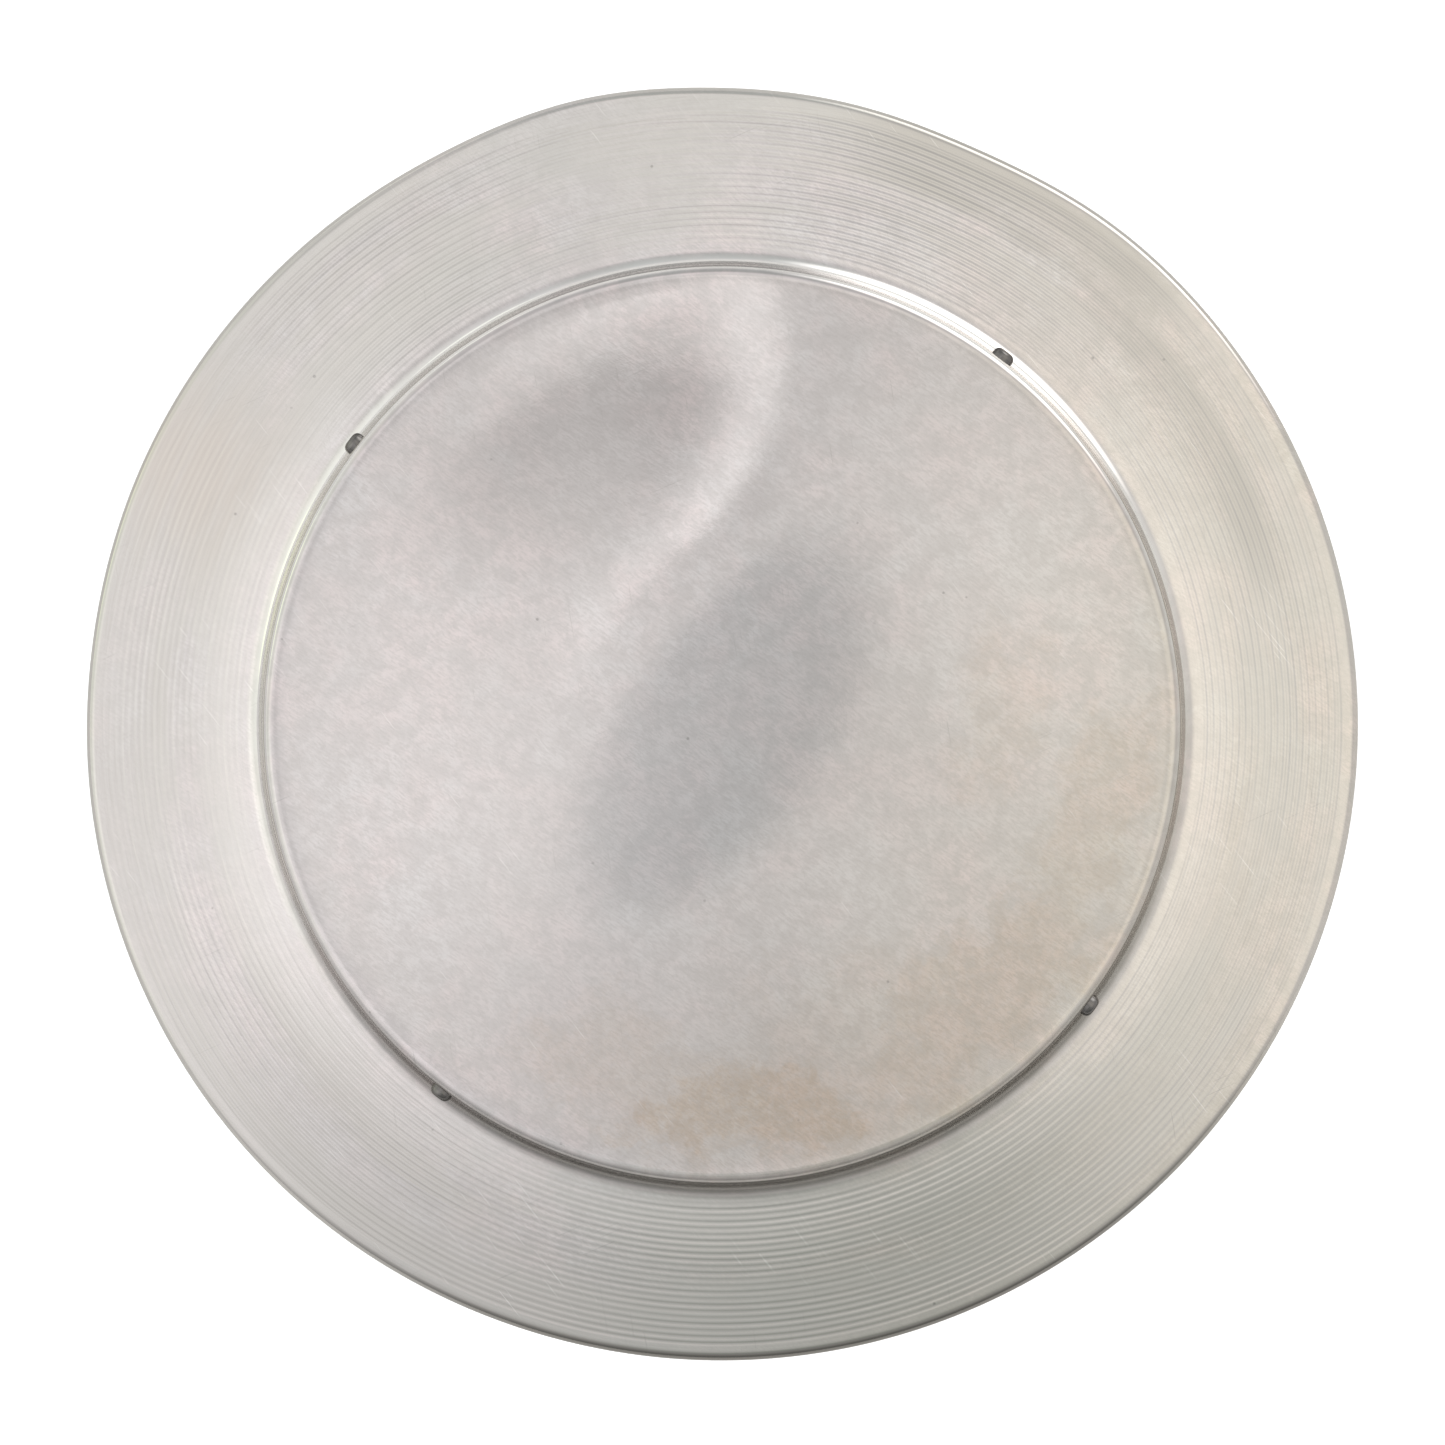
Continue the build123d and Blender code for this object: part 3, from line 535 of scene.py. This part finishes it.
def painted_highlights_by_wall(look, grey):
    """Painted highlights: lighter colour in the corner on the far side, and on the skirt next to the wall
    except on the far side.
    """
    # painted highlight in the corner on the far side, strongest at the far right
    far_right = look.side(FAR_RIGHT, 0.93, 0.99, 0.50, 0.90)
    corner = look.times(look.ring(106.4, 107.3, 109.2, 111.5), look.side(FAR_SIDE, -0.35, 0.5), far_right)
    grey = look.mix(corner, grey, PAINTED_CORNER_HIGHLIGHT)
    # painted sheen on the skirt beside the wall, on all sides but the far one
    beside_wall = look.ring(109.5, 111.5, 114, 127)
    elsewhere = look.side(FAR_BY_WALL, 0.85, 0.3, 0.0, 0.26)
    return look.mix(look.times(beside_wall, elsewhere), grey, PAINTED_SKIRT_SHEEN)


def shaded_table_edge(look, grey):
    """Painted shade: darker colour where the table's edge bends down, except on the near side, and a thin
    painted dark line under it, except at the far left.
    """
    # painted shade: a thin dark line under the table's edge, on all sides but the far left
    wear_and_shade = look.side(FAR_LEFT, 0.97, 0.90, 0.0, 0.12)
    grey = look.mix(look.times(look.ring(106.1, 106.8, 107.6, 107.9), wear_and_shade), grey, PAINTED_EDGE_SHADE)
    # painted shade where the table's edge bends down, on all sides but the near one
    painted_roll_shade = look.times(look.ring(103.6, 104.8, 106.2, 107.0), look.side(FAR, -0.7, -0.3), 0.15)
    return look.mix(painted_roll_shade, grey, PAINTED_EDGE_SHADE)


def scratches(look, grey):
    """Sparse hairline scratches in three directions, and small dark pits."""
    for angle, offset, tone in SCRATCHES:
        moved = look.vector("ADD", look.place, (offset, 0, 0))
        hairs = look.noise(look.vector("DIVIDE", look.turned(moved, angle), (14, 0.34, 14)), 1.0, detail=1)
        patch = look.between(look.noise(moved, 0.03, detail=2), 0.50, 0.62, 0.0, 0.4)
        grey = look.mix(look.times(look.between(hairs, 0.70, 0.78), patch), grey, tone)
    cells = look.add("ShaderNodeTexVoronoi", {"Vector": look.place, "Scale": 0.11})
    pit = look.between(cells.outputs["Distance"], 0.055, 0.025)
    chosen = look.between(look.noise(look.place, 0.05, detail=0), 0.52, 0.58, 0.0, 0.55)
    return look.mix(look.times(pit, chosen), grey, PIT)


def stain(look):
    """Where glaze and slip have dried on the table: patches with ragged edges and a faint tide mark."""
    ragged_place = look.vector("ADD", look.place, (0, 0, 40))
    ragged = look.noise(ragged_place, 0.06, detail=9, roughness=0.66, distortion=0.25)
    speckle = look.noise(look.place, 0.7, detail=4, roughness=0.7)
    total = 0.0
    for centre_x, centre_y, long, wide, turn, strength in STAINS:
        moved = look.vector("SUBTRACT", look.flat, (centre_x, centre_y, 0))
        away = look.vector("LENGTH", look.vector("DIVIDE", look.turned(moved, -turn), (long, wide, 1)))
        ragged_away = look.maths("MULTIPLY_ADD", ragged, -3.2, look.maths("ADD", away, 1.6))
        share = look.times(look.between(ragged_away, 1.15, 0.55), strength)
        tide = look.times(look.between(ragged_away, 1.15, 1.05), look.between(ragged_away, 0.90, 1.02))
        share = look.maths("MULTIPLY_ADD", tide, 0.30 * strength, share)
        total = look.maths("MAXIMUM", total, share)
    return look.times(total, look.between(speckle, 0.35, 0.60, 0.60, 1.0))


def turned_metal(name, colour, roughness, streak_depth=0.8e-6):
    """Metal with the fine rings that a lathe or grinder leaves around the axis."""
    look = Look(name, colour, roughness, 1.0)
    cloud = look.noise(look.place, 0.12, detail=3)
    darker = tuple(0.82 * part for part in colour)
    look.colour(look.mix(look.between(cloud, 0.35, 0.7), colour, darker))
    rings = look.noise(look.around_axis(40, 0.22, 0.22), 1.0, detail=3, roughness=0.7)
    look.roughness(look.between(rings, 0.3, 0.7, roughness * 0.8, roughness * 1.25))
    look.raised(rings, streak_depth)
    return look.material


def grained_metal(name, colour, roughness, size, depth):
    """Metal with an even grain of this size in millimetres, as plating, oxide or a sand mould leaves."""
    look = Look(name, colour, roughness, 1.0)
    grain = look.noise(look.place, 1 / size, detail=4, roughness=0.6)
    cloud = look.noise(look.place, 0.15, detail=3)
    darker = tuple(0.72 * part for part in colour)
    look.colour(look.mix(look.between(cloud, 0.35, 0.72), colour, darker))
    look.roughness(look.between(grain, 0.3, 0.7, roughness * 0.85, roughness * 1.2))
    look.raised(grain, depth)
    return look.material


def hammered_enamel():
    """Grey-green enamel whose surface draws up into shallow dimples."""
    look = Look("hammered_enamel", (0.12, 0.16, 0.15), 0.3, 0.0)
    noise = look.add("ShaderNodeTexNoise", {"Vector": look.place, "Scale": 0.5}).outputs["Color"]
    uneven_place = look.vector("ADD", look.place, look.vector("SCALE", noise, scale=1.6))
    inputs = {"Vector": uneven_place, "Scale": 0.36, "Smoothness": 0.7}
    dimple = look.add("ShaderNodeTexVoronoi", inputs, feature="SMOOTH_F1").outputs["Distance"]
    look.colour(look.mix(look.between(dimple, 0.1, 0.75), (0.135, 0.185, 0.17), (0.075, 0.105, 0.10)))
    wear = look.noise(look.place, 0.05, detail=5, roughness=0.6)
    look.roughness(look.between(wear, 0.3, 0.7, 0.24, 0.38))
    look.raised(dimple, 0.16e-3)
    look.raised(look.noise(look.place, 1.4, detail=2), 6e-6)
    look.shader.inputs["Coat Weight"].default_value = 0.3
    look.shader.inputs["Coat Roughness"].default_value = 0.12
    return look.material


def moulded_rubber():
    look = Look("moulded_rubber", (0.022, 0.022, 0.023), 0.62, 0.0)
    dust = look.noise(look.place, 0.2, detail=5, roughness=0.65)
    look.colour(look.mix(look.between(dust, 0.45, 0.8), (0.020, 0.020, 0.021), (0.060, 0.058, 0.055)))
    skin = look.noise(look.place, 2.6, detail=3)
    look.roughness(look.between(skin, 0.3, 0.7, 0.52, 0.72))
    look.raised(skin, 12e-6)
    return look.material


def finish(node_name, material):
    """Puts a material on every slot of a CAD node."""
    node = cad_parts[node_name]
    if not node.material_slots:
        node.data.materials.append(material)
    for slot in node.material_slots:
        slot.material = material


def finish_nodes():
    screw = grained_metal("screw_steel", (0.16, 0.152, 0.146), 0.20, 0.35, 2e-6)
    bright = grained_metal("shield_steel", (0.52, 0.52, 0.52), 0.26, 0.5, 1e-6)
    oxide = grained_metal("black_oxide", (0.045, 0.045, 0.05), 0.42, 0.3, 3e-6)
    race = turned_metal("bearing_steel", (0.56, 0.56, 0.575), 0.14)
    phosphate = grained_metal("spring_steel", (0.07, 0.07, 0.072), 0.45, 0.25, 2e-6)
    cage = grained_metal("cage_steel", (0.40, 0.38, 0.34), 0.32, 0.5, 2e-6)
    ball = grained_metal("ball_steel", (0.70, 0.70, 0.72), 0.06, 1.2, 0.2e-6)
    finishes = {
        "head_screws": screw,
        "foot_screws": screw,
        "head_spider": grained_metal("cast_aluminium", (0.46, 0.46, 0.455), 0.42, 0.7, 25e-6),
        "hub_set_screws": oxide,
        "spindle": turned_metal("shaft_steel", (0.50, 0.50, 0.51), 0.2),
        "dust_slinger": turned_metal("turned_aluminium", (0.62, 0.62, 0.63), 0.22, 2e-6),
        "spindle_circlip": phosphate,
        "housing_circlip": phosphate,
        "wave_washer": phosphate,
        "pedestal": hammered_enamel(),
        "bearing_cap": bright,
        "rubber_feet": moulded_rubber(),
    }
    for place in ("upper", "lower"):
        finishes[f"{place}_bearing_inner_race"] = race
        finishes[f"{place}_bearing_outer_race"] = race
        finishes[f"{place}_bearing_shields"] = bright
        finishes[f"{place}_bearing_cage"] = cage
        finishes[f"{place}_bearing_balls"] = ball
    for node_name, material in finishes.items():
        finish(node_name, material)


# ---------------------------------------------------------------- studio
CAMERA_DISTANCE = 4.0           # camera to the rim's plane
FRAME_WIDTH = 0.3406            # what the picture spans at the rim's plane
CAMERA_ASIDE = (0.12 * MM, 0.47 * MM)
SENSOR_WIDTH = 36.0
FARTHEST_SEEN = 50.0
FLOOR_HALF = 20.0
FLOOR_GLOW = 0.55
PANEL_RISE = 0.30               # overhead diffuser above the table
PANEL_HALF = 0.18
PANEL_STEP = 2.0 * MM

STUDIO_WHITE = (0.95, 0.95, 0.95)
STUDIO_DARKEST = (0.12, 0.125, 0.12)
# soft lights, and shades where the light is less than 0:
# azimuth and elevation, full within and none beyond so many degrees, light
STUDIO_LIGHTS = (
    (176, 60, 0, 30, (0.42, 0.41, 0.41)),
    (15, 60, 0, 36, (0.45, 0.42, 0.34)),
    (-82, 60, 0, 24, (-0.31, -0.28, -0.30)),
    (-85, -5, 10, 69, (-0.53, -0.52, -0.53)),
    (204, 36, 4, 24, (0.32, 0.32, 0.31)),
    (170, 15, 8, 50, (0.34, 0.38, 0.30)),
    (56, 11, 6, 29, (2.0, 2.0, 1.95)),
    (122, 0, 3, 12, (0.40, 0.45, 0.37)),
    (163, 1, 2, 14, (0.38, 0.48, 0.18)),
    (-3, 18, 5, 38, (0.03, 0.02, 0.01)),
    (-38, 62, 0, 26, (0.05, 0.04, 0.03)),
    (238, 64, 0, 24, (0.17, 0.17, 0.18)),
    (92, 48, 2, 12, (0.14, 0.12, 0.12)),
    (98, 64, 0, 22, (0.26, 0.26, 0.25)),
    (92, 22, 5, 28, (-0.22, -0.19, -0.20)),
)

# soft ovals of the overhead diffuser, in millimetres over the table and degrees:
# amount, centre x, centre y, half length, half width, turn
VERY_SOFT = 0.9
DIM_OVALS = (
    (0.06, -60, 62, 30, 16, 50),
    (0.09, -8, -79, 72, 34, 5),
    (0.07, -25, 48, 40, 22, 50),
)
BRIGHT_OVALS = (
    (0.36, -66, -6, 62, 80, 0),
    (0.16, 82, 20, 55, 75, 20),
    (0.08, 74, 38, 22, 36, 10),
    (0.09, 36, -55, 18, 28, 0),
)
# the bright hook along the bend of the table: x, y, light
HOOK = ((16, 99, 0.30), (-6, 100, 0.34), (-26, 94, 0.28), (-46, 84, 0.17), (-64, 73, 0))
HOOK_WIDTH_ABOVE = 9
HOOK_WIDTH_BELOW = 8
# the bright streak that runs down from the hook: y, x of its right edge, width, light
STREAK = (
    (106, 14.5, 30, 0.36),
    (90, 12.3, 20, 0.50),
    (80, 11.0, 14, 0.54),
    (65, 4.8, 16, 0.64),
    (50, -8.0, 13, 0.54),
    (43, -17.5, 10, 0.36),
    (31, -27.5, 9, 0.28),
    (20, -31.5, 8, 0.26),
    (5, -38, 8, 0),
)
HOOK_PATCH_DIM = 0.20
# the lens and its shade dim red most and blue least
LENS_DIM = 0.22
LENS_SHADE_DIM = 0.06
LENS_DIM_BY_COLOUR = (1.07, 0.96, 0.91)


def floor():
    """A pale floor that glows for the camera only, so that it stays near white beside the object."""
    corners = [(-1, -1), (1, -1), (1, 1), (-1, 1)]
    mesh = bpy.data.meshes.new("floor")
    mesh.from_pydata([(x * FLOOR_HALF, y * FLOOR_HALF, 0) for x, y in corners], [], [(0, 1, 2, 3)])
    plane = bpy.data.objects.new("floor", mesh)
    bpy.context.scene.collection.objects.link(plane)
    look = Look("floor", (0.86, 0.86, 0.86), 0.9, 0.0)
    paper = look.noise(look.place, 0.02, detail=3)
    look.colour(look.mix(look.between(paper, 0.3, 0.7), (0.84, 0.84, 0.84), (0.88, 0.88, 0.88)))
    look.shader.inputs["Specular IOR Level"].default_value = 0.0
    look.shader.inputs["Emission Color"].default_value = (1, 1, 1, 1)
    seen = look.add("ShaderNodeLightPath").outputs["Is Camera Ray"]
    look.feed(look.shader.inputs["Emission Strength"], look.times(seen, FLOOR_GLOW))
    mesh.materials.append(look.material)


def surroundings():
    """A soft white studio: brighter to the left and right, dim behind the near side, one bright window low
    at the far right. The camera itself sees plain white."""
    world = bpy.data.worlds.new("studio")
    world.use_nodes = True
    bpy.context.scene.world = world
    tree = world.node_tree

    def add(kind, **settings):
        node = tree.nodes.new(kind)
        for name, value in settings.items():
            setattr(node, name, value)
        return node

    def vector(operation, *values, scale=None):
        node = add("ShaderNodeVectorMath", operation=operation)
        for socket, value in zip(node.inputs, values):
            if isinstance(value, bpy.types.NodeSocket):
                tree.links.new(value, socket)
            else:
                socket.default_value = value
        if scale is not None:
            tree.links.new(scale, node.inputs["Scale"])
        return node.outputs["Value" if operation == "DOT_PRODUCT" else "Vector"]

    direction = add("ShaderNodeTexCoord").outputs["Generated"]
    light = STUDIO_WHITE
    for azimuth, elevation, full_within, none_beyond, colour in STUDIO_LIGHTS:
        a, e = radians(azimuth), radians(elevation)
        closeness = vector("DOT_PRODUCT", direction, (cos(a) * cos(e), sin(a) * cos(e), sin(e)))
        ramp = add("ShaderNodeMapRange", interpolation_type="SMOOTHSTEP")
        tree.links.new(closeness, ramp.inputs["Value"])
        ramp.inputs["From Min"].default_value = cos(radians(none_beyond))
        ramp.inputs["From Max"].default_value = cos(radians(full_within))
        light = vector("ADD", light, vector("SCALE", colour, scale=ramp.outputs["Result"]))
    light = vector("MAXIMUM", light, STUDIO_DARKEST)
    choose = add("ShaderNodeMix", data_type="RGBA")
    tree.links.new(add("ShaderNodeLightPath").outputs["Is Camera Ray"], choose.inputs["Factor"])
    tree.links.new(light, choose.inputs[6])
    choose.inputs[7].default_value = (1.0, 1.0, 1.0, 1)
    tree.links.new(choose.outputs[2], tree.nodes["Background"].inputs["Color"])


def path(points):
    """Values that change along the first one: each point is how far along, then the others."""
    columns = np.array(sorted(points)).T
    return lambda at: [np.interp(at, columns[0], column) for column in columns[1:]]


def panel_light(x, y):
    """What the overhead diffuser lets through, and what it adds, at a place in millimetres over the table."""

    def oval(centre_x, centre_y, half_length, half_width, turn, soft=VERY_SOFT):
        a = radians(turn)
        along = (x - centre_x) * cos(a) + (y - centre_y) * sin(a)
        across = (y - centre_y) * cos(a) - (x - centre_x) * sin(a)
        return 1 - smooth(1 - soft, 1 + soft, np.hypot(along / half_length, across / half_width))

    radius = np.hypot(x, y)
    dim = 0.08 * (1 - smooth(112, 150, radius)) + 0.04 * (1 - smooth(15, 60, radius))
    for amount, *place in DIM_OVALS:
        dim = dim + amount * oval(*place)

    # the sheet is bent here, and shows a dark patch under a bright hook that turns down into a bright streak
    hook_y, hook_light = path(HOOK)(x)
    below = hook_y - 12 - 5 * smooth(-25, -8, x) - y
    patch_height = smooth(-2.5, 2, below) * (1 - smooth(4, 48, below))
    patch = patch_height * smooth(-76, -46, x) * (1 - smooth(3, 12, x))
    dim = dim + HOOK_PATCH_DIM * patch
    edge_x, width, streak_light = path(STREAK)(y)
    across = edge_x - x
    glow = streak_light * smooth(-1.0, 2.0, across) * (1 - smooth(0.25 * width, 1.3 * width, across))
    hook_width = np.where(y > hook_y, HOOK_WIDTH_ABOVE, HOOK_WIDTH_BELOW)
    over_hook = hump(y, hook_y, hook_width) * (1 - smooth(8, 18, x))
    glow = np.maximum(glow, hook_light * over_hook)
    for amount, *place in BRIGHT_OVALS:
        glow = glow + amount * oval(*place)

    lens = LENS_DIM * oval(0, 0, 50, 22.5, 53, 0.23) + LENS_SHADE_DIM * oval(-19, -42, 28, 14, 52, 0.8)
    through = np.stack([1 - dim - lens * share for share in LENS_DIM_BY_COLOUR], axis=-1)
    glow = np.stack([glow, glow, glow], axis=-1)
    return through, glow


def overhead_diffuser():
    """A translucent panel over the table, seen only in reflections, with the dim opening for the lens."""
    places = np.arange(-PANEL_HALF, PANEL_HALF + PANEL_STEP / 2, PANEL_STEP)
    count = len(places)
    x, y = np.meshgrid(places, places, indexing="ij")
    points = np.stack([x, y, np.full_like(x, HEIGHT + PANEL_RISE)], axis=2).reshape(-1, 3)
    faces = []
    for column in range(count - 1):
        for row in range(count - 1):
            corner = column * count + row
            faces.append((corner, corner + 1, corner + count + 1, corner + count))
    mesh = bpy.data.meshes.new("overhead_diffuser")
    mesh.from_pydata([tuple(point) for point in points], [], faces)
    spread = 1 + PANEL_RISE / CAMERA_DISTANCE
    through, glow = panel_light(x.ravel() / spread / MM, y.ravel() / spread / MM)
    for name, colours in (("through", through), ("glow", glow)):
        values = np.concatenate([colours, np.ones((len(colours), 1))], axis=1).astype(np.float32)
        mesh.attributes.new(name, "FLOAT_COLOR", "POINT").data.foreach_set("color", values.ravel())
    panel = bpy.data.objects.new("overhead_diffuser", mesh)
    bpy.context.scene.collection.objects.link(panel)
    panel.visible_camera = False
    panel.visible_shadow = False
    panel.visible_diffuse = False
    material = bpy.data.materials.new("overhead_diffuser")
    material.use_nodes = True
    tree = material.node_tree
    tree.nodes.clear()
    shaders = tree.nodes.new("ShaderNodeAddShader")
    kinds = (("through", "ShaderNodeBsdfTransparent"), ("glow", "ShaderNodeEmission"))
    for index, (name, kind) in enumerate(kinds):
        attribute = tree.nodes.new("ShaderNodeAttribute")
        attribute.attribute_name = name
        shader = tree.nodes.new(kind)
        tree.links.new(attribute.outputs["Color"], shader.inputs["Color"])
        tree.links.new(shader.outputs[0], shaders.inputs[index])
    output = tree.nodes.new("ShaderNodeOutputMaterial")
    tree.links.new(shaders.outputs[0], output.inputs["Surface"])
    mesh.materials.append(material)


def camera():
    data = bpy.data.cameras.new("camera")
    data.sensor_width = SENSOR_WIDTH
    data.lens = SENSOR_WIDTH * CAMERA_DISTANCE / FRAME_WIDTH
    data.clip_end = FARTHEST_SEEN
    eye = bpy.data.objects.new("camera", data)
    bpy.context.scene.collection.objects.link(eye)
    eye.location = (*CAMERA_ASIDE, RIM_Z + CAMERA_DISTANCE)
    bpy.context.scene.camera = eye


sheet = head_sheet()
sheet.data.materials.append(spun_aluminium())
finish_nodes()
floor()
surroundings()
overhead_diffuser()
camera()
bpy.context.scene.view_settings.view_transform = "Standard"
